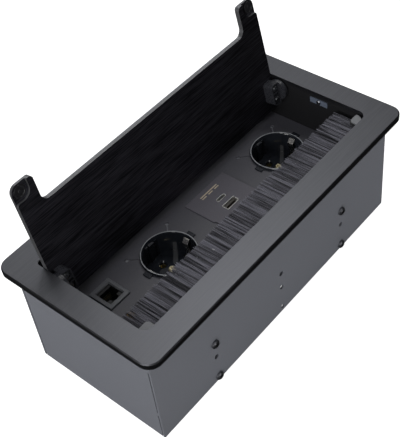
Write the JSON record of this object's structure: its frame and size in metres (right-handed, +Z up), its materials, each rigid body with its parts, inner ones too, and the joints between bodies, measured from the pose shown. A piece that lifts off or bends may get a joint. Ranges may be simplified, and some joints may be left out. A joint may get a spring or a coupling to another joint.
{
  "type": "in-desk power module",
  "caption": "Flush desk outlet box with a flip-top lid on two hinge arms, a brush strip for leads, earthed round sockets, USB charging ports and a network jack on a sunken panel.",
  "frame": {"origin": "centre of the flange's underside, in the plane of the desk top", "axes": "+X along the module, +Y towards the hinge side, +Z up"},
  "size_m": [0.286, 0.142, 0.1663],
  "materials": {
    "anodised_flange": "black anodised, brushed along the length",
    "anodised_lid": "black anodised, brushed, with bare milled edges",
    "powder_coat": "fine dark grey powder coat",
    "moulded_arm": "moulded, satin",
    "zinc_steel": "zinc plated",
    "nylon_washer": "moulded nylon",
    "bumper_rubber": "moulded, matt",
    "corner_pad": "grey, satin",
    "bristle": "nylon bristles, matt",
    "cup_plastic": "black, moulded, glossy",
    "pale_plastic": "off-white, moulded",
    "spring_steel": "nickel plated spring strip",
    "brass": "turned brass",
    "charger_plastic": "dark grey, fine eroded texture",
    "connector_shell": "nickel plated, drawn",
    "dark_plastic": "black, moulded",
    "bezel_plastic": "dark grey, satin",
    "black_screw": "black zinc",
    "clip_steel": "zinc plated sheet"
  },
  "bodies": {
    "box": {"flange": "anodised_flange", "housing": "powder_coat", "cheek_plate_left": "powder_coat", "cheek_plate_right": "powder_coat", "socket_panel": "powder_coat", "hinge_pin_left": "zinc_steel", "hinge_pin_right": "zinc_steel", "hinge_washer_left": "nylon_washer", "hinge_washer_right": "nylon_washer", "corner_pad_left": "corner_pad", "corner_pad_right": "corner_pad", "brush_holder": "powder_coat", "brush_bristles": "bristle", "socket_cup_left": "cup_plastic", "socket_cup_right": "cup_plastic", "socket_base_left": "pale_plastic", "socket_base_right": "pale_plastic", "earth_clips_left": "spring_steel", "earth_clips_right": "spring_steel", "centre_screw_left": "brass", "centre_screw_right": "brass", "pin_sleeves_left": "brass", "pin_sleeves_right": "brass", "charger_plate": "charger_plastic", "charger_module": "pale_plastic", "usb_a_shell": "connector_shell", "usb_a_tongue": "pale_plastic", "usb_c_shell": "connector_shell", "usb_c_tongue": "dark_plastic", "jack_bezel": "bezel_plastic", "jack_body": "dark_plastic", "jack_contacts": "brass", "strap_front_left": "powder_coat", "strap_front_right": "powder_coat", "strap_rear_left": "powder_coat", "strap_rear_right": "powder_coat", "panel_screws": "black_screw", "panel_nuts": "zinc_steel", "strap_screws": "black_screw", "strap_nuts": "zinc_steel", "rim_screws": "zinc_steel", "cheek_screws": "zinc_steel", "wall_clip_left": "clip_steel", "wall_clip_right": "clip_steel", "clip_screws": "zinc_steel", "earth_screw": "brass"},
    "lid": {"lid": "anodised_lid", "hinge_arm_left": "moulded_arm", "hinge_arm_right": "moulded_arm", "arm_screws_left": "zinc_steel", "arm_screws_right": "zinc_steel", "ear_bumper_left": "bumper_rubber", "ear_bumper_right": "bumper_rubber"}
  },
  "joints": [
    {"name": "lid_hinge", "type": "hinge", "parent": "box", "child": "lid", "pos_m": [0, 0.0307, -0.00535], "axis": [1, 0, 0], "range_deg": [0, 100.7]}
  ]
}
